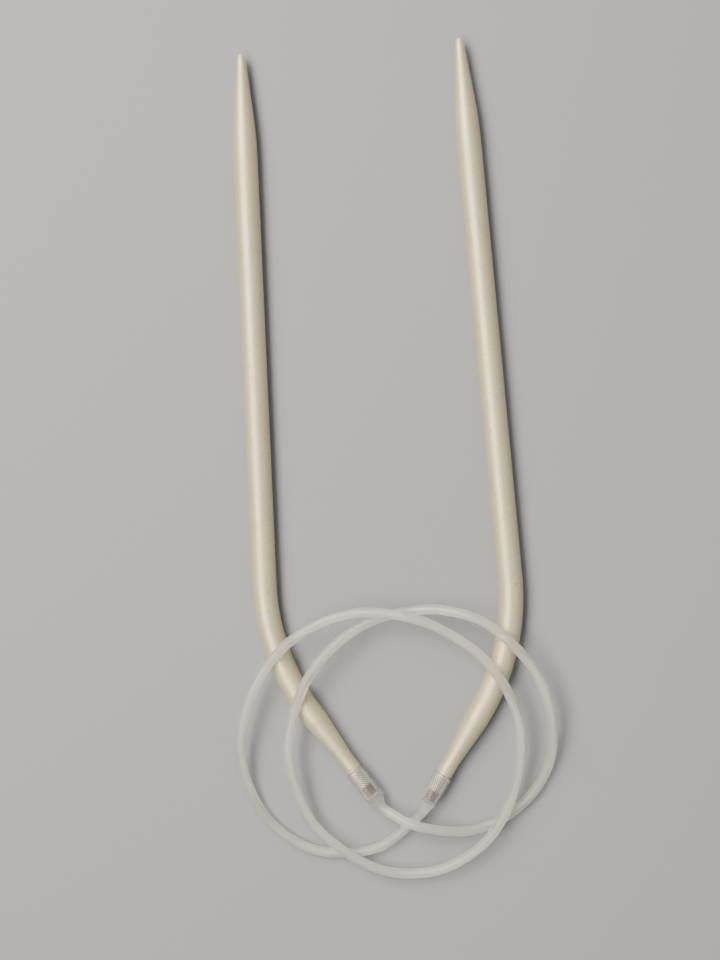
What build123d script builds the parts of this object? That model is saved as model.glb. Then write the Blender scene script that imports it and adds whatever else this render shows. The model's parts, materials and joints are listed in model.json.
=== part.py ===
from build123d import *
import math
import os

# A circular knitting needle, 4.5 mm thick and 24 in from tip to tip, in millimetres.
# It lies flat on the XY plane with both points towards +Y, and its nylon cord is coiled
# twice over the bent ends of the points. Z is up.

# ---- Driving dimensions ------------------------------------------------------------

# Aluminium points. Both are the same part: one bends to the right and the other, turned
# over about its own axis, to the left.
POINT_DIAMETER = 4.5
TIP_TO_BEND = 112.5          # from the tip to the corner where the two axes meet
BEND_TO_END = 26.6           # from that corner to the shank's end face
BEND_ANGLE = 35.5
BEND_RADIUS = 42.0
NOSE_CORNER = 0.4            # half width of the nose's flat end before it is rounded
NOSE_RADIUS = 0.6            # rounds that end
NOSE_LENGTH = 1.0            # from the tip to where the nose meets the cone
NOSE_DIAMETER = 1.7          # at that place
NOSE_SHOULDER_RADIUS = 4.0   # rounds the nose into the cone
TIP_CONE = 15.5              # from the tip to the thick end of the cone
TIP_SHOULDER_RADIUS = 85.0   # rounds the cone into the shank
TAIL_TAPER_START = 15.0      # from the bend's corner, along the tail
TAIL_TAPER_END = 23.5
TAIL_DIAMETER = 3.0          # the reduced end that meets the nylon
TAIL_SHOULDER_RADIUS = 14.0

# Ribbed studs that grip the nylon.
STUD_ROOT_DIAMETER = 1.6
STUD_ROOT_LENGTH = 5.0
STUD_LENGTH = 3.5
STUD_DIAMETER = 2.1          # over the ribs
STUD_RIB_DEPTH = 0.15
STUD_RIB_PITCH = 0.44
STUD_COLLAR = 0.3            # plain land next to the shank's end face

# Moulded nylon sockets on the ends of the cord.
SOCKET_DIAMETER = 3.4
SOCKET_LENGTH = 6.0          # the straight part
SOCKET_NECK_LENGTH = 2.6     # from the straight part to the point where the cord flexes
SOCKET_NECK_DIAMETER = 2.4
SOCKET_BORE_DEPTH = 5.8
SOCKET_MOUTH_ROUND = 0.25
SOCKET_SHOULDER_ROUND = 1.2
CUP_CLEARANCE = 0.1          # between the cord's round end and the cup it turns in
CUP_RIM_SETBACK = 0.3        # the cup's rim stops short of the flex point

# Nylon cord.
CORD_DIAMETER = 1.8
ARC_SHARE = 0.45             # share of the shorter run that each arc takes

# Where each point lies: the bend's corner on the XY plane, and the lean of its straight
# part, anticlockwise from +Y.
LEFT_CORNER = (-20.2, -42.2)
LEFT_LEAN = 2.6
RIGHT_CORNER = (26.1, -40.3)
RIGHT_LEAN = 5.4

# The cord's route, from the left flex point to the right one. It runs anticlockwise: out
# round the right side, over both points, down the inner left side, and once more round by
# the inner right side and the outer left side.
CORD_ROUTE = [
    (5.1, -72.0, 3.7),       # out of the left socket, rising over the cord's other end
    (10.6, -73.4, 4.2),
    (18.6, -74.1, 1.2),      # down on the surface and under the inner right side
    (27.4, -69.1, 0.95),
    (32.5, -61.0, 0.95),     # outer right side
    (32.8, -51.9, 5.5),
    (29.6, -43.0, 8.5),      # over the right point
    (22.1, -35.7, 8.5),
    (16.2, -33.4, 7.0),
    (9.2, -32.7, 5.0),       # hanging between the points, under the later turn
    (-0.2, -34.8, 5.0),
    (-6.9, -39.2, 7.0),
    (-11.8, -44.9, 8.5),     # over the left point, nearer its socket
    (-15.2, -53.1, 8.5),
    (-16.0, -61.4, 6.5),     # inner left side
    (-13.1, -70.9, 3.9),
    (-9.5, -75.4, 3.4),      # over the end of the last turn
    (-1.2, -80.9, 3.4),
    (5.9, -82.2, 1.8),       # bottom
    (13.5, -80.8, 2.2),
    (21.1, -75.3, 3.4),      # over the start of the first turn
    (25.2, -68.0, 3.8),
    (27.2, -58.8, 6.0),      # inner right side
    (26.2, -49.6, 8.5),      # over the right point, nearer its socket
    (20.7, -41.6, 8.5),
    (15.1, -37.8, 8.0),
    (9.0, -34.7, 7.5),       # over the earlier turn
    (-0.9, -33.1, 7.5),
    (-9.0, -35.0, 8.0),
    (-15.9, -39.1, 8.5),     # over the left point
    (-21.6, -46.0, 8.5),
    (-24.9, -55.6, 6.0),     # outer left side
    (-24.9, -64.6, 2.5),
    (-21.4, -72.3, 0.95),    # down on the surface and under the inner left side
    (-15.8, -76.8, 0.95),
    (-10.4, -78.9, 0.95),
    (-0.5, -78.4, 0.95),
    (5.3, -74.2, 1.3),       # up into the right socket
]

# ---- Derived dimensions ------------------------------------------------------------

POINT_RADIUS = POINT_DIAMETER / 2
NOSE_HALF_WIDTH = NOSE_DIAMETER / 2
TAIL_RADIUS = TAIL_DIAMETER / 2
CORD_RADIUS = CORD_DIAMETER / 2
STUD_RADIUS = STUD_DIAMETER / 2
STUD_ROOT_RADIUS = STUD_ROOT_DIAMETER / 2
BEND_TANGENT = BEND_RADIUS * math.tan(math.radians(BEND_ANGLE / 2))
FLEX_DISTANCE = BEND_TO_END + SOCKET_LENGTH + SOCKET_NECK_LENGTH


def turned(points, rounds):
    """A closed outline in the XY plane, rounded at the named corners and turned about Y."""
    outline = make_face(Polyline(*points, close=True))
    for corner, radius in rounds:
        vertex = outline.vertices().sort_by_distance(Vector(*corner))[0]
        outline = fillet(vertex, radius)
    return revolve(outline, Axis.Y)


def on_tail(shape):
    """Puts a shape that was turned about Y on the tail: Y runs along the tail's axis."""
    return Rot(0, 0, BEND_ANGLE - 180) * shape


def straight_and_tip():
    """The straight part with its cone and rounded nose, up to the start of the bend."""
    end = (NOSE_CORNER, TIP_TO_BEND)
    nose = (NOSE_HALF_WIDTH, TIP_TO_BEND - NOSE_LENGTH)
    shoulder = (POINT_RADIUS, TIP_TO_BEND - TIP_CONE)
    points = [
        (0, BEND_TANGENT),
        (POINT_RADIUS, BEND_TANGENT),
        shoulder,
        nose,
        end,
        (0, TIP_TO_BEND),
    ]
    rounds = [
        (end, NOSE_RADIUS),
        (nose, NOSE_SHOULDER_RADIUS),
        (shoulder, TIP_SHOULDER_RADIUS),
    ]
    return turned(points, rounds)


def bend():
    """The bent stretch: a circle turned about the centre of the bend."""
    section = Plane(origin=(0, BEND_TANGENT, 0), x_dir=(1, 0, 0), z_dir=(0, -1, 0))
    pivot = Axis((BEND_RADIUS, BEND_TANGENT, 0), (0, 0, 1))
    return revolve(section * Circle(POINT_RADIUS), pivot, BEND_ANGLE)


def tail():
    """The straight stretch after the bend, tapered to the reduced end, with the blind bore
    that holds the stud."""
    start = (POINT_RADIUS, TAIL_TAPER_START)
    end = (TAIL_RADIUS, TAIL_TAPER_END)
    points = [
        (0, BEND_TANGENT),
        (POINT_RADIUS, BEND_TANGENT),
        start,
        end,
        (TAIL_RADIUS, BEND_TO_END),
        (STUD_ROOT_RADIUS, BEND_TO_END),
        (STUD_ROOT_RADIUS, BEND_TO_END - STUD_ROOT_LENGTH),
        (0, BEND_TO_END - STUD_ROOT_LENGTH),
    ]
    rounds = [(start, TAIL_SHOULDER_RADIUS), (end, TAIL_SHOULDER_RADIUS)]
    return on_tail(turned(points, rounds))


def point():
    """One aluminium point, in its own frame: the bend's corner at the origin, the tip at
    +Y and the tail towards +X."""
    return straight_and_tip() + bend() + tail()


def stud():
    """A bare ribbed stud: a plain root in the shank and a row of ribs outside it."""
    end = BEND_TO_END + STUD_LENGTH
    groove_radius = STUD_RADIUS - STUD_RIB_DEPTH
    ribs = int((STUD_LENGTH - STUD_COLLAR) / STUD_RIB_PITCH)
    points = [
        (0, BEND_TO_END - STUD_ROOT_LENGTH),
        (STUD_ROOT_RADIUS, BEND_TO_END - STUD_ROOT_LENGTH),
        (STUD_ROOT_RADIUS, BEND_TO_END),
        (groove_radius, BEND_TO_END),
    ]
    for rib in range(ribs):
        groove = BEND_TO_END + STUD_COLLAR + rib * STUD_RIB_PITCH
        points.append((groove_radius, groove))
        points.append((STUD_RADIUS, groove + STUD_RIB_PITCH / 2))
    points.append((groove_radius, end))
    points.append((0, end))
    return on_tail(turned(points, []))


def socket():
    """A moulded nylon socket: a sleeve over the stud, an empty pocket behind it, a tapered
    neck, and a shallow cup at the end where the cord flexes."""
    shoulder = (SOCKET_DIAMETER / 2, BEND_TO_END + SOCKET_LENGTH)
    mouth = (SOCKET_DIAMETER / 2, BEND_TO_END)
    rim = FLEX_DISTANCE - CUP_RIM_SETBACK
    points = [
        (0, BEND_TO_END + SOCKET_BORE_DEPTH),
        (STUD_RADIUS, BEND_TO_END + SOCKET_BORE_DEPTH),
        (STUD_RADIUS, BEND_TO_END),
        mouth,
        shoulder,
        (SOCKET_NECK_DIAMETER / 2, rim),
        (0, rim),
    ]
    rounds = [(mouth, SOCKET_MOUTH_ROUND), (shoulder, SOCKET_SHOULDER_ROUND)]
    sleeve = turned(points, rounds)
    cup = Pos(0, FLEX_DISTANCE, 0) * Sphere(CORD_RADIUS + CUP_CLEARANCE)
    return on_tail(sleeve - cup)


def left(shape):
    """Lays a point's part down on the left side."""
    return Pos(*LEFT_CORNER, POINT_RADIUS) * Rot(0, 0, LEFT_LEAN) * shape


def right(shape):
    """Lays a point's part down on the right side, turned over about its own axis."""
    turned_over = Rot(0, 180, 0) * shape
    return Pos(*RIGHT_CORNER, POINT_RADIUS) * Rot(0, 0, RIGHT_LEAN) * turned_over


def flex_point(side):
    """Where the cord leaves one side's socket and flexes."""
    on_axis = Pos(0, FLEX_DISTANCE, 0) * Vertex(0, 0, 0)
    return side(on_tail(on_axis)).center()


def arc_radii(route):
    """One radius for each corner of the route: as large as its two runs allow."""
    radii = []
    for before, corner, after in zip(route, route[1:], route[2:]):
        half_turn = math.radians((corner - before).get_angle(after - corner)) / 2
        shorter = min((corner - before).length, (after - corner).length)
        radii.append(ARC_SHARE * shorter / math.tan(half_turn))
    return radii


def cord(start, end):
    """The nylon cord: straight runs joined by tangent arcs, with a round end in each cup."""
    route = [start] + [Vector(*spot) for spot in CORD_ROUTE] + [end]
    radii = arc_radii(route)
    path = FilletPolyline(*route, radius=radii)
    section = Plane(origin=path @ 0, z_dir=path % 0) * Circle(CORD_RADIUS)
    tube = sweep(section, path=path)
    print("cord arc radii", [round(radius, 1) for radius in radii])
    print("cord length", round(path.length, 1))
    expected = math.pi * CORD_RADIUS**2 * path.length
    print("cord volume over section times length", round(tube.volume / expected, 4))
    for tip in (start, end):
        tube = tube + Pos(*tip) * Sphere(CORD_RADIUS)
    return tube


LEFT_FLEX = flex_point(left)
RIGHT_FLEX = flex_point(right)

parts = {
    "left_point": left(point()),
    "right_point": right(point()),
    "left_stud": left(stud()),
    "right_stud": right(stud()),
    "left_socket": left(socket()),
    "right_socket": right(socket()),
    "cord": cord(LEFT_FLEX, RIGHT_FLEX),
}

os.makedirs("parts", exist_ok=True)
for node, shape in parts.items():
    export_step(shape, f"parts/{node}.step")

rigid = Compound([parts[node] for node in parts if node != "cord"]).bounding_box()
whole = Compound(list(parts.values())).bounding_box()
print("flex points", LEFT_FLEX, RIGHT_FLEX)
print("points and sockets", rigid.min, rigid.max, "whole", whole.min, whole.max)
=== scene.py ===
import json
import math

import bpy
from mathutils import Matrix, Vector


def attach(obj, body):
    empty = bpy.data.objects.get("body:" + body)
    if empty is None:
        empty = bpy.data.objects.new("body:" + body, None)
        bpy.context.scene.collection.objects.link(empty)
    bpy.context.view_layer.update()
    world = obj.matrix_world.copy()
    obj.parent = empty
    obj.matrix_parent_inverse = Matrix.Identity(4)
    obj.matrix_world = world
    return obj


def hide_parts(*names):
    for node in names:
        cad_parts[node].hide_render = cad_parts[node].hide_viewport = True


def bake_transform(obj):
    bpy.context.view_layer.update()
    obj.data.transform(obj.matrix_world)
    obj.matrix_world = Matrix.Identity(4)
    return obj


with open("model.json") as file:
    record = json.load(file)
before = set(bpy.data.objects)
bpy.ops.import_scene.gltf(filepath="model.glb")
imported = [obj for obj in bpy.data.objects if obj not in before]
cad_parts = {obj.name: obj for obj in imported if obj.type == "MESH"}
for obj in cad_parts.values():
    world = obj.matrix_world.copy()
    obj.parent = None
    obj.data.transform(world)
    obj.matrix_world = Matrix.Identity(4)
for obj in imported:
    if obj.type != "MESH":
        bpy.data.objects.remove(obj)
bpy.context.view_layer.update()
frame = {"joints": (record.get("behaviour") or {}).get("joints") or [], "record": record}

# ---- Dimensions, in metres ---------------------------------------------------------

MM = 0.001

# Aluminium points.
POINT_RADIUS = 2.25 * MM
TIP_TO_BEND = 112.5 * MM          # from the tip to the corner where the two axes meet
BEND_TO_END = 26.6 * MM           # from that corner to the shank's end face
BEND_ANGLE = math.radians(35.5)
BEND_RADIUS = 42 * MM
NOSE_CORNER = 0.4 * MM            # half width of the nose's flat end before it is rounded
NOSE_RADIUS = 0.6 * MM
NOSE_LENGTH = 1 * MM
NOSE_HALF_WIDTH = 0.85 * MM       # where the nose meets the cone
NOSE_SHOULDER_RADIUS = 4 * MM
TIP_CONE = 15.5 * MM
TIP_SHOULDER_RADIUS = 85 * MM
TAIL_TAPER_START = 15 * MM        # from the bend's corner, along the tail
TAIL_TAPER_END = 23.5 * MM
TAIL_RADIUS = 1.5 * MM
TAIL_SHOULDER_RADIUS = 14 * MM
END_EDGE_ROUND = 0.12 * MM

# Ribbed studs.
STUD_ROOT_RADIUS = 0.8 * MM       # of its bore; the root itself is a little smaller
STUD_ROOT_LENGTH = 5 * MM
STUD_ROOT_FIT = 0.98              # the root's radius over its bore's
STUD_ROOT_GAP = 0.02 * MM         # left at the bore's blind end
STUD_RADIUS = 1.05 * MM           # over the ribs
STUD_LENGTH = 3.5 * MM
STUD_END_ROUND = 0.15 * MM
STUD_COLLAR = 0.3 * MM            # plain land next to the shank's end face
STUD_RIB_DEPTH = 0.2 * MM
STUD_RIBS = 10                    # ribs side by side round the stud
STUD_LEAD = 4.8 * MM              # how far one rib advances in a full turn

# Moulded nylon sockets.
SOCKET_RADIUS = 1.7 * MM
SOCKET_LENGTH = 6 * MM            # the straight part
SOCKET_NECK_LENGTH = 2.6 * MM     # from there to the point where the cord flexes
SOCKET_BORE_RADIUS = 1.09 * MM
SOCKET_BORE_DEPTH = 5.8 * MM
SOCKET_BORE_ROUND = 0.5 * MM
SOCKET_MOUTH_ROUND = 0.25 * MM
LEFT_SHOULDER_ROUND = 0.8 * MM    # rounding of the corner where the outside narrows
RIGHT_SHOULDER_ROUND = 6 * MM
RIGHT_SHOULDER_EARLY = 1 * MM     # how far before its neck the right socket narrows
NECK_RADIUS = 0.98 * MM
NECK_RUN_OUT = 0.6 * MM           # the neck's last stretch, down to the cord's radius
NECK_ROUND = 1.5 * MM

# Nylon cord.
CORD_DIAMETER = 1.8 * MM

# The cord's route in millimetres, from the left socket to the right one.
CORD_ROUTE = [
    (5.1, -72.0, 3.7),
    (10.6, -73.4, 3.9),
    (18.6, -74.1, 1.2),
    (27.4, -69.1, 0.95),
    (32.5, -61.0, 1.6),
    (32.8, -51.9, 5.5),
    (29.6, -43.0, 5.6),
    (22.1, -35.7, 5.6),
    (16.2, -33.4, 5.5),
    (9.2, -32.7, 3.9),
    (-0.2, -34.8, 3.9),
    (-6.9, -39.2, 4.8),
    (-11.8, -44.9, 5.6),
    (-15.2, -53.1, 5.6),
    (-16.0, -61.4, 5.6),
    (-13.1, -70.9, 3.2),
    (-9.5, -75.4, 3.0),
    (-1.2, -80.9, 2.6),
    (5.9, -82.2, 1.8),
    (13.5, -80.8, 2.2),
    (21.1, -75.3, 3.2),
    (25.2, -68.0, 3.4),
    (27.2, -58.8, 5.5),
    (26.2, -49.6, 5.6),
    (20.7, -41.6, 5.7),
    (15.1, -37.8, 5.7),
    (9.0, -34.7, 5.8),
    (-0.9, -33.1, 5.8),
    (-9.0, -35.0, 5.7),
    (-15.9, -39.1, 5.6),
    (-21.6, -46.0, 5.6),
    (-24.9, -55.6, 5.6),
    (-24.9, -64.6, 2.3),
    (-21.4, -72.3, 0.95),
    (-15.8, -76.8, 0.95),
    (-10.4, -78.9, 0.95),
    (-0.5, -78.4, 0.95),
    (5.3, -74.2, 1.3),
]

# Fineness of the meshes.
POINT_STEP = 1 * MM               # the longest step along each kind of piece
STUD_STEP = 0.05 * MM
SOCKET_STEP = 0.2 * MM
ARC_STEP = math.radians(9)        # the largest turn between two places on a rounding
STEPS_ROUND = 64
STUD_STEPS_ROUND = 96
SHARP_EDGE = math.radians(40)     # an edge past this angle isn't smoothed

# Camera and stage.
LOOK_AT = Vector((-2.8 * MM, -9.4 * MM, POINT_RADIUS))
VIEW_DISTANCE = 0.3
VIEW_YAW = math.radians(8.4)      # the right side is a little nearer the camera
VIEW_HEIGHT = 177.4 * MM          # what the picture's long side takes in
CLIP_START = 0.01
FLOOR_HALF_SIDE = 4.0
FLOOR_PALER_FROM = 0.3            # how far from the middle the floor starts to get paler
FLOOR_PALEST_FROM = 1.2

# ---- Colours and optics -------------------------------------------------------------

COAT_DARK = (0.55, 0.5, 0.315, 1)
COAT_LIGHT = (0.69, 0.635, 0.42, 1)
COAT_MOTTLE = (0.59, 0.55, 0.37, 1)
COAT_PIT = (0.22, 0.2, 0.17, 1)
# a lighter tip colour: partly polishing from use, partly a painted highlight
TIP_POLISH_AND_HIGHLIGHT = (0.82, 0.76, 0.6, 1)
POLISH_AND_HIGHLIGHT_LENGTH = 3 * MM              # the polishing and the painted highlight fade out over this far from the tip
# painted shade for the grooves between the stud's ribs
STUD_GROOVE_SHADE = (0.05, 0.042, 0.035, 1)
STUD_CREST = (1, 0.96, 0.88, 1)
NYLON = (0.95, 0.935, 0.9, 1)
# painted shade tinting the nylon over the empty pocket
NYLON_POCKET_SHADE = (0.48, 0.39, 0.45, 1)
NYLON_IOR = 1.53
SLEEVE_CLARITY = 0.91             # the share of the light that isn't scattered
NECK_CLARITY = 0.82
CORD_CLARITY = 0.84
SLEEVE_ROUGHNESS = 0.13
NECK_ROUGHNESS = 0.26
SOCKET_REFLECTION = (0.4, 0.4, 0.4, 1)
CORD_REFLECTION = (0.75, 0.75, 0.75, 1)
FLOOR_NEAR = (0.262, 0.272, 0.292, 1)
FLOOR_FAR = (0.9, 0.92, 0.95, 1)
SURROUNDINGS = (0.92, 0.92, 0.92, 1)
SURROUNDINGS_STRENGTH = 0.28
WARM_LIGHT = (1, 0.92, 0.8)
COOL_LIGHT = (0.95, 0.97, 1)

# ---- Lengths along a needle ---------------------------------------------------------

BEND_TANGENT = BEND_RADIUS * math.tan(BEND_ANGLE / 2)
ARC = BEND_RADIUS * BEND_ANGLE

# Distances from the tip: the bend's start and end, the shank's end face, the blind end of
# the socket's bore, the start of its neck, and the point where the cord flexes.
STRAIGHT = TIP_TO_BEND - BEND_TANGENT
BEND_END = STRAIGHT + ARC
END = BEND_END + BEND_TO_END - BEND_TANGENT
BORE_END = END + SOCKET_BORE_DEPTH
NECK = END + SOCKET_LENGTH
FLEX = NECK + SOCKET_NECK_LENGTH

# ---- Places that the frame gives ----------------------------------------------------

UP = Vector((0, 0, 1))
mounts = {mount["name"]: mount for mount in frame["record"]["mounts"]}
flex = {joint["name"]: Vector(joint["pos_m"]) for joint in frame["joints"]}


class Axis:
    """The bent centreline of one point and its socket, measured from the tip. Past the
    socket's straight part it turns smoothly into the cord's first direction."""

    def __init__(self, side, bends_to, first_point):
        mount = mounts[side + "_shank"]
        half = mount["dims"]["length_mm"] * MM / 2
        self.to_tip = Vector(mount["axis"])
        self.inward = self.to_tip.cross(UP) * bends_to
        self.bend_start = Vector(mount["pos_m"]) - self.to_tip * half
        self.flex = flex[side + "_flex"]
        self.cord_heading = (Vector(first_point) * MM - self.flex).normalized()

    def at(self, distance):
        """The place at that distance from the tip, and the direction towards the cord."""
        if distance > NECK:
            return self.in_neck((distance - NECK) / (FLEX - NECK))
        past = distance - STRAIGHT
        if past <= 0:
            return self.bend_start - self.to_tip * past, -self.to_tip
        angle = min(past / BEND_RADIUS, BEND_ANGLE)
        heading = self.inward * math.sin(angle) - self.to_tip * math.cos(angle)
        outward = -self.inward * math.cos(angle) - self.to_tip * math.sin(angle)
        place = self.bend_start + (self.inward + outward) * BEND_RADIUS
        return place + heading * max(past - ARC, 0), heading

    def in_neck(self, share):
        """The same for that share of the neck, a cubic curve that ends at the flex point."""
        start, heading = self.at(NECK)
        first = start + heading * (FLEX - NECK) / 3
        last = self.flex - self.cord_heading * (FLEX - NECK) / 3
        rest = 1 - share
        place = (start * rest**3 + first * 3 * rest**2 * share
                 + last * 3 * rest * share**2 + self.flex * share**3)
        slope = ((first - start) * rest**2 + (last - first) * 2 * rest * share
                 + (self.flex - last) * share**2)
        return place, slope.normalized()


AXES = {
    "left": Axis("left", 1, CORD_ROUTE[0]),
    "right": Axis("right", -1, CORD_ROUTE[-1]),
}

# Where each socket's outside begins to narrow, and how far that corner is rounded.
SHOULDERS = {
    "left": (NECK, LEFT_SHOULDER_ROUND),
    "right": (NECK - RIGHT_SHOULDER_EARLY, RIGHT_SHOULDER_ROUND),
}

# ---- Mesh building ------------------------------------------------------------------

def placed(name, data):
    """A new object in the scene."""
    thing = bpy.data.objects.new(name, data)
    bpy.context.scene.collection.objects.link(thing)
    return thing


def rounded(corners):
    """An outline of (distance, radius) places from corners (distance, radius, rounding)."""
    places = [Vector(corner[:2]) for corner in corners]
    outline = [places[0]]
    for before, spot, after, corner in zip(places, places[1:], places[2:], corners[1:]):
        if corner[2] == 0:
            outline.append(spot)
            continue
        back = (before - spot).normalized()
        on = (after - spot).normalized()
        half = back.angle(on) / 2
        centre = spot + (back + on).normalized() * corner[2] / math.sin(half)
        start = spot + back * corner[2] / math.tan(half) - centre
        turn = math.copysign(math.pi - 2 * half, -back.x * on.y + back.y * on.x)
        steps = max(3, math.ceil(abs(turn) / ARC_STEP))
        for step in range(steps + 1):
            outline.append(centre + Matrix.Rotation(turn * step / steps, 2) @ start)
    outline.append(places[-1])
    return outline


def divided(outline, longest):
    """The outline with more places on its long runs."""
    finer = [outline[0]]
    for before, after in zip(outline, outline[1:]):
        steps = max(1, math.ceil((after - before).length / longest))
        for step in range(1, steps + 1):
            finer.append(before.lerp(after, step / steps))
    return finer


def turned(name, axis, outline, around=STEPS_ROUND, relief=None):
    """A closed mesh: an outline from pole to pole, turned about a needle's bent axis.
    relief(distance, radius, angle) gives the radius where the surface isn't round. The
    attribute unbent holds each vertex's place with the needle straightened."""
    vertices, unbent, rings = [], [], []
    for distance, radius in outline:
        place, heading = axis.at(distance)
        sideways = heading.cross(UP).normalized()
        upward = sideways.cross(heading)
        count = around if radius > 0 else 1
        rings.append(range(len(vertices), len(vertices) + count))
        for step in range(count):
            angle = 2 * math.pi * step / around
            reach = relief(distance, radius, angle) if relief else radius
            x, y = reach * math.cos(angle), reach * math.sin(angle)
            vertices.append(place + sideways * x + upward * y)
            unbent.extend((x, y, distance))
    faces = []
    for one, two in zip(rings, rings[1:]):
        for step in range(around):
            after = (step + 1) % around
            if len(one) == 1:
                faces.append((one[0], two[step], two[after]))
            elif len(two) == 1:
                faces.append((one[after], one[step], two[0]))
            else:
                faces.append((one[step], two[step], two[after], one[after]))
    mesh = bpy.data.meshes.new(name)
    mesh.from_pydata(vertices, [], faces)
    mesh.attributes.new("unbent", "FLOAT_VECTOR", "POINT").data.foreach_set("vector", unbent)
    mesh.shade_smooth()
    mesh.set_sharp_from_angle(angle=SHARP_EDGE)
    return placed(name, mesh)


# ---- Materials ----------------------------------------------------------------------

class Shader:
    """A node material with one Principled shader, and short ways to add nodes to it."""

    def __init__(self, name, **sockets):
        self.material = bpy.data.materials.new(name)
        self.material.use_nodes = True
        self.tree = self.material.node_tree
        self.surface = self.tree.nodes["Principled BSDF"]
        for socket, value in sockets.items():
            self.surface.inputs[socket.replace("_", " ")].default_value = value

    def node(self, kind, **settings):
        """A new node. Settings name its properties, or its inputs with a leading to_."""
        node = self.tree.nodes.new(kind)
        for key, value in settings.items():
            if not key.startswith("to_"):
                setattr(node, key, value)
        for key, value in settings.items():
            if key.startswith("to_"):
                key = key[3:].replace("_", " ")
                self.feed(node.inputs[int(key) if key.isdigit() else key], value)
        return node

    def feed(self, socket, value):
        """Gives an input a constant, or another node's output."""
        if isinstance(value, bpy.types.NodeSocket):
            self.tree.links.new(value, socket)
        else:
            socket.default_value = value

    def link(self, output, socket):
        """Feeds one of the Principled shader's inputs."""
        self.tree.links.new(output, self.surface.inputs[socket])

    def straightened(self):
        """The place on the straightened needle."""
        return self.node("ShaderNodeAttribute", attribute_name="unbent").outputs["Vector"]

    def at_rest(self):
        """The place at rest, which is the place in the piece's own geometry."""
        return self.node("ShaderNodeTexCoord").outputs["Object"]

    def stretched(self, vector, scale):
        """The vector scaled along each axis."""
        node = self.node("ShaderNodeMapping", to_Vector=vector, to_Scale=scale)
        return node.outputs["Vector"]

    def length(self, vector):
        """The vector's length."""
        node = self.node("ShaderNodeVectorMath", operation="LENGTH", to_0=vector)
        return node.outputs["Value"]

    def from_tip(self, place):
        """How far along the straightened needle a place is."""
        return self.node("ShaderNodeSeparateXYZ", to_Vector=place).outputs["Z"]

    def from_axis(self, place):
        """How far from the straightened needle's axis a place is."""
        return self.length(self.stretched(place, (1, 1, 0)))

    def noise(self, vector, scale, detail):
        """Noise from 0 to 1. scale is in cells per metre."""
        node = self.node("ShaderNodeTexNoise", to_Vector=vector, to_Scale=scale,
                         to_Detail=detail)
        return node.outputs["Fac"]

    def calculated(self, operation, *values):
        """The result of a Math node."""
        node = self.node("ShaderNodeMath", operation=operation)
        for socket, value in zip(node.inputs, values):
            self.feed(socket, value)
        return node.outputs["Value"]

    def mapped(self, value, low, high, to_low, to_high):
        """The value, taken from one range to another and held inside it."""
        node = self.node("ShaderNodeMapRange", to_Value=value, to_From_Min=low,
                         to_From_Max=high, to_To_Min=to_low, to_To_Max=to_high)
        return node.outputs["Result"]

    def mixed(self, share, one, two):
        """A colour between two."""
        node = self.node("ShaderNodeMix", data_type="RGBA", to_0=share, to_6=one, to_7=two)
        return node.outputs[2]

    def bump(self, height, distance, strength):
        """Bump on the surface, that many metres deep at full strength."""
        node = self.node("ShaderNodeBump", to_Height=height, to_Distance=distance,
                         to_Strength=strength)
        self.link(node.outputs["Normal"], "Normal")


def coat_material():
    """Satin pearl-grey coating: a fine speckle, drawing lines along the shank, small dark
    pits, and a tip lightened partly by polishing from use and partly by a painted highlight."""
    shader = Shader("pearl_grey_coat", Metallic=0.55)
    place = shader.straightened()
    speckle = shader.noise(place, 3200, detail=3)
    mottle = shader.noise(place, 140, detail=3)
    lines = shader.noise(shader.stretched(place, (1, 1, 0.02)), 6000, detail=2)
    pits = shader.noise(place, 1100, detail=1)
    base = shader.mixed(shader.mapped(speckle, 0.35, 0.65, 0, 1), COAT_DARK, COAT_LIGHT)
    base = shader.mixed(shader.mapped(mottle, 0.3, 0.7, 0, 0.4), base, COAT_MOTTLE)
    base = shader.mixed(shader.mapped(pits, 0.25, 0.3, 0.35, 0), base, COAT_PIT)
    # painted highlight and polishing: the base colour lightens towards the tip
    polish_and_highlight = shader.mapped(shader.from_tip(place), 0, POLISH_AND_HIGHLIGHT_LENGTH, 0.6, 0)
    shader.link(shader.mixed(polish_and_highlight, base, TIP_POLISH_AND_HIGHLIGHT), "Base Color")
    shader.link(shader.mapped(mottle, 0.3, 0.7, 0.48, 0.58), "Roughness")
    shader.bump(shader.calculated("MULTIPLY_ADD", lines, 0.5, speckle), 0.01 * MM, 0.6)
    return shader.material


def bare_metal_material():
    """Bright bare aluminium, with painted shade darkening the grooves between the ribs."""
    shader = Shader("bare_aluminium", Metallic=0.35)
    place = shader.straightened()
    grain = shader.noise(place, 9000, detail=2)
    # painted shade: dark at the bottom of the grooves, the bare metal's colour on the crests
    out_of_groove_shade = shader.mapped(shader.from_axis(place), STUD_RADIUS - 0.9 * STUD_RIB_DEPTH,
                          STUD_RADIUS - 0.35 * STUD_RIB_DEPTH, 0, 1)
    shader.link(shader.mixed(out_of_groove_shade, STUD_GROOVE_SHADE, STUD_CREST), "Base Color")
    shader.link(shader.mapped(grain, 0.3, 0.7, 0.3, 0.45), "Roughness")
    shader.bump(grain, 0.006 * MM, 0.5)
    return shader.material


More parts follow.
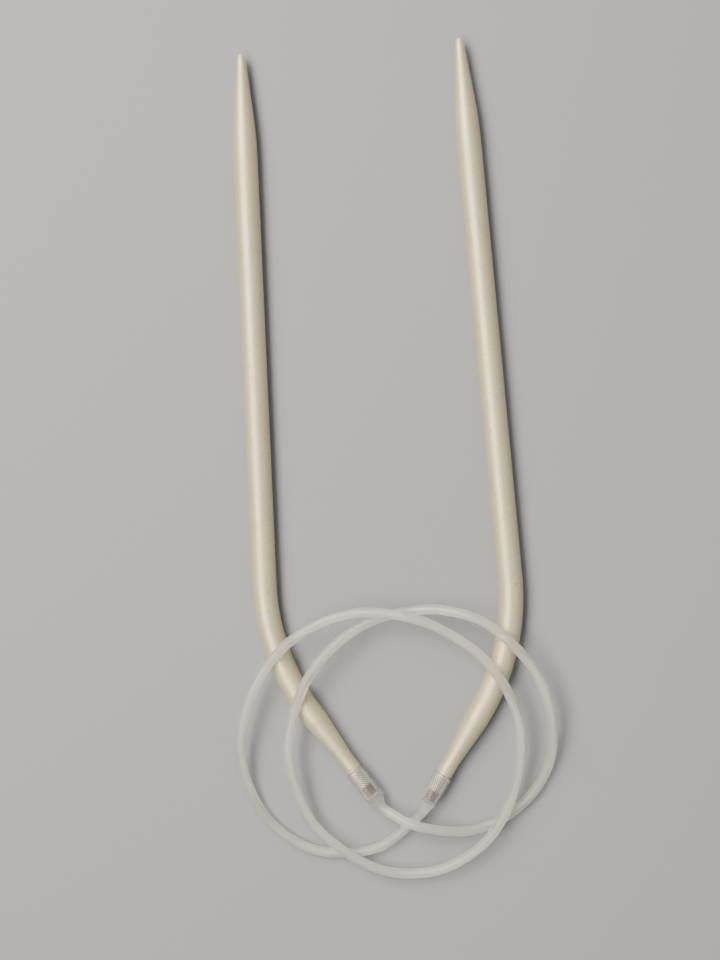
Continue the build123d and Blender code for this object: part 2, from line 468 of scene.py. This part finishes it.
def socket_material():
    """Moulded nylon. The sleeve round the bore is nearly clear, its pocket past the stud gets
    painted shade, a darker mauve tint, and the solid neck is milky and frosted like the cord."""
    shader = Shader("moulded_nylon", IOR=NYLON_IOR, Specular_Tint=SOCKET_REFLECTION)
    place = shader.straightened()
    along = shader.from_tip(place)
    stud_end = END + STUD_LENGTH
    edge = 0.1 * MM               # how sharply the inside's look ends
    fade = 0.5 * MM               # how gently the sleeve's look turns to the neck's
    wall = shader.mapped(shader.from_axis(place), SOCKET_BORE_RADIUS,
                         SOCKET_BORE_RADIUS + edge, 0, 1)
    neck = shader.mapped(along, BORE_END, BORE_END + edge, 0, 1)
    outside = shader.calculated("MAXIMUM", wall, neck)
    # painted shade: the bore's surface darkens past the stud's end, over the empty pocket
    pocket = shader.mapped(along, stud_end - 0.3 * MM, stud_end + 0.3 * MM, 0, 1)
    inside = shader.mixed(pocket, NYLON, NYLON_POCKET_SHADE)
    shader.link(shader.mixed(outside, inside, NYLON), "Base Color")
    clear_outside = shader.mapped(along, BORE_END - 2 * fade, BORE_END + fade,
                                  SLEEVE_CLARITY, NECK_CLARITY)
    clear_inside = shader.calculated("SUBTRACT", 1, outside)
    shader.link(shader.calculated("MAXIMUM", clear_outside, clear_inside),
                "Transmission Weight")
    haze = shader.noise(place, 900, detail=2)
    frosting = shader.mapped(along, BORE_END - fade, BORE_END + fade,
                             SLEEVE_ROUGHNESS, NECK_ROUGHNESS)
    shader.link(shader.calculated("MULTIPLY_ADD", haze, 0.08, frosting), "Roughness")
    shader.bump(haze, 0.01 * MM, 0.4)
    return shader.material


def cord_material():
    """Milky, frosted, translucent nylon."""
    shader = Shader("milky_nylon", Base_Color=NYLON, IOR=NYLON_IOR,
                    Specular_Tint=CORD_REFLECTION, Transmission_Weight=CORD_CLARITY)
    haze = shader.noise(shader.at_rest(), 500, detail=2)
    shader.link(shader.mapped(haze, 0.3, 0.7, 0.28, 0.32), "Roughness")
    shader.bump(haze, 0.01 * MM, 0.3)
    return shader.material


def floor_material():
    """A plain matt floor. It gets paler where the lights don't reach, so that no dark band
    shows in the distance."""
    shader = Shader("floor", Roughness=0.6, Specular_IOR_Level=0.2)
    far = shader.mapped(shader.length(shader.at_rest()), FLOOR_PALER_FROM,
                        FLOOR_PALEST_FROM, 0, 1)
    shader.link(shader.mixed(far, FLOOR_NEAR, FLOOR_FAR), "Base Color")
    return shader.material


# ---- Camera -------------------------------------------------------------------------

def looking_at(spot, place):
    """The matrix that puts a camera or a light at a place, facing a spot, with +Y up."""
    away = (place - spot).normalized()
    right = Vector((0, 1, 0)).cross(away).normalized()
    turn = Matrix((right, away.cross(right), away)).transposed().to_4x4()
    return Matrix.Translation(place) @ turn


def make_camera():
    """A camera that looks down, from a little to the right of straight above."""
    away = Vector((math.sin(VIEW_YAW), 0, math.cos(VIEW_YAW)))
    data = bpy.data.cameras.new("camera")
    data.lens = data.sensor_width * VIEW_DISTANCE / VIEW_HEIGHT
    data.clip_start = CLIP_START
    camera = placed("camera", data)
    camera.matrix_world = looking_at(LOOK_AT, LOOK_AT + away * VIEW_DISTANCE)
    bpy.context.scene.camera = camera


# ---- Pieces -------------------------------------------------------------------------

def make_cord():
    """The nylon cord, coiled over the points, on one smooth spline."""
    route = [AXES["left"].flex] + [Vector(spot) * MM for spot in CORD_ROUTE]
    route.append(AXES["right"].flex)
    curve = bpy.data.curves.new("nylon_cord", "CURVE")
    curve.dimensions = "3D"
    spline = curve.splines.new("NURBS")
    spline.points.add(len(route) - 1)
    for point, place in zip(spline.points, route):
        point.co = (*place, 1)
    spline.order_u = 3
    spline.use_endpoint_u = True
    spline.resolution_u = 12
    curve.bevel_depth = CORD_DIAMETER / 2
    curve.bevel_resolution = 8
    curve.use_fill_caps = True
    curve.materials.append(cord_material())
    piece = placed("nylon_cord", curve)
    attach(piece, "cord")
    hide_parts("cord")


def make_point(side, material):
    """One coated aluminium point, with the blind bore for its stud."""
    tail = END - BEND_TO_END
    bore_bottom = END - STUD_ROOT_LENGTH
    corners = [
        (0, 0, 0),
        (0, NOSE_CORNER, NOSE_RADIUS),
        (NOSE_LENGTH, NOSE_HALF_WIDTH, NOSE_SHOULDER_RADIUS),
        (TIP_CONE, POINT_RADIUS, TIP_SHOULDER_RADIUS),
        (STRAIGHT, POINT_RADIUS, 0),
        (BEND_END, POINT_RADIUS, 0),
        (tail + TAIL_TAPER_START, POINT_RADIUS, TAIL_SHOULDER_RADIUS),
        (tail + TAIL_TAPER_END, TAIL_RADIUS, TAIL_SHOULDER_RADIUS),
        (END, TAIL_RADIUS, END_EDGE_ROUND),
        (END, STUD_ROOT_RADIUS, 0),
        (bore_bottom, STUD_ROOT_RADIUS, 0),
        (bore_bottom, 0, 0),
    ]
    outline = divided(rounded(corners), POINT_STEP)
    piece = turned(side + "_needle_point", AXES[side], outline)
    piece.data.materials.append(material)
    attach(piece, side + "_needle")
    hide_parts(side + "_point")


def rib(distance, radius, angle):
    """The stud's surface: ribs that wind round it, flat on the collar and in the bore."""
    along = distance - END - STUD_COLLAR
    if along < 0 or radius < STUD_RADIUS - 2 * STUD_RIB_DEPTH:
        return radius
    turns = along / STUD_LEAD - angle / (2 * math.pi)
    wave = 0.5 + 0.5 * math.cos(2 * math.pi * STUD_RIBS * turns)
    rise = min(along / STUD_COLLAR, 1)
    return radius - STUD_RIB_DEPTH * (1 - wave) * rise


def make_stud(side, material):
    """The bare stud that grips the nylon."""
    root_end = END - STUD_ROOT_LENGTH + STUD_ROOT_GAP
    root_radius = STUD_ROOT_RADIUS * STUD_ROOT_FIT
    corners = [
        (root_end, 0, 0),
        (root_end, root_radius, 0),
        (END, root_radius, 0),
        (END, STUD_RADIUS, 0),
        (END + STUD_LENGTH, STUD_RADIUS, STUD_END_ROUND),
        (END + STUD_LENGTH, 0, 0),
    ]
    outline = divided(rounded(corners), STUD_STEP)
    piece = turned(side + "_ribbed_stud", AXES[side], outline, STUD_STEPS_ROUND, rib)
    piece.data.materials.append(material)
    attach(piece, side + "_needle")
    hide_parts(side + "_stud")


def make_socket(side, material):
    """A moulded nylon socket, with its bore, its empty pocket and its tapered neck."""
    shoulder, shoulder_round = SHOULDERS[side]
    corners = [
        (BORE_END, 0, 0),
        (BORE_END, SOCKET_BORE_RADIUS, SOCKET_BORE_ROUND),
        (END, SOCKET_BORE_RADIUS, 0),
        (END, SOCKET_RADIUS, SOCKET_MOUTH_ROUND),
        (shoulder, SOCKET_RADIUS, shoulder_round),
        (FLEX - NECK_RUN_OUT, NECK_RADIUS, NECK_ROUND),
        (FLEX, CORD_DIAMETER / 2, 0),
        (FLEX, 0, 0),
    ]
    outline = divided(rounded(corners), SOCKET_STEP)
    piece = turned(side + "_nylon_socket", AXES[side], outline)
    piece.data.materials.append(material)
    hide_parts(side + "_socket")
    AXES[side].at(NECK)[0]
    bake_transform(piece)


# ---- Stage --------------------------------------------------------------------------

def make_floor():
    """A large plain floor."""
    mesh = bpy.data.meshes.new("floor")
    size = FLOOR_HALF_SIDE
    corners = [(-size, -size, 0), (size, -size, 0), (size, size, 0), (-size, size, 0)]
    mesh.from_pydata(corners, [], [(0, 1, 2, 3)])
    mesh.materials.append(floor_material())
    placed("floor", mesh)


def make_light(name, place, width, length, watts, colour):
    """A soft rectangular light that faces the object, its length along Y."""
    data = bpy.data.lights.new(name, "AREA")
    data.shape = "RECTANGLE"
    data.size = width
    data.size_y = length
    data.energy = watts
    data.color = colour
    placed(name, data).matrix_world = looking_at(LOOK_AT, Vector(place))


def make_world():
    """Even pale surroundings."""
    world = bpy.data.worlds.new("world")
    world.use_nodes = True
    background = world.node_tree.nodes["Background"]
    background.inputs["Color"].default_value = SURROUNDINGS
    background.inputs["Strength"].default_value = SURROUNDINGS_STRENGTH
    bpy.context.scene.world = world


# ---- The scene ----------------------------------------------------------------------

make_camera()
make_cord()
coat = coat_material()
metal = bare_metal_material()
nylon = socket_material()
for side in AXES:
    make_point(side, coat)
    make_stud(side, metal)
    make_socket(side, nylon)
make_floor()
make_light("key", (-0.3, 0.45, 0.6), width=0.6, length=0.6, watts=7, colour=WARM_LIGHT)
make_light("strip", (-0.22, 0.05, 0.54), width=0.26, length=0.7, watts=6.5, colour=WARM_LIGHT)
make_light("fill", (0.5, -0.2, 0.45), width=0.6, length=0.6, watts=0.9, colour=COOL_LIGHT)
make_world()
